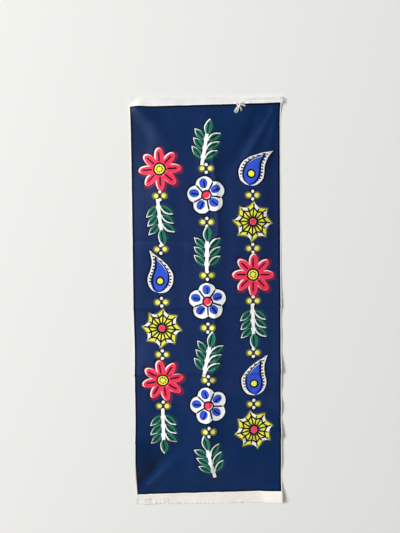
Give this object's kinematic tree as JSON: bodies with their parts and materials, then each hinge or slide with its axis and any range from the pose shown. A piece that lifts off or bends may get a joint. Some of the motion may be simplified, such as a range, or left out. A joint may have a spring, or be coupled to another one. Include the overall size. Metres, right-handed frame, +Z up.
{
  "type": "printed fabric panel",
  "caption": "Long narrow printed cotton panel hanging from its top edge, with storage creases, pulled corners, bare cloth margins and a frayed lower end.",
  "frame": {"origin": "middle of the top edge, half way through the cloth's thickness", "axes": "+Z up along the cloth's length, +X to the right seen from the front, +Y towards the wall, so that the print faces -Y"},
  "size_m": [0.3695, 0.0248, 1.0049],
  "materials": {
    "printed_cotton": "matte plain weave with a dyed navy ground and a colour print",
    "raw_cotton": "matte unprinted off-white cotton yarn"
  },
  "bodies": {
    "root": {"panel": "printed_cotton", "bottom_fray": "raw_cotton", "thread_tuft": "raw_cotton"}
  },
  "joints": []
}
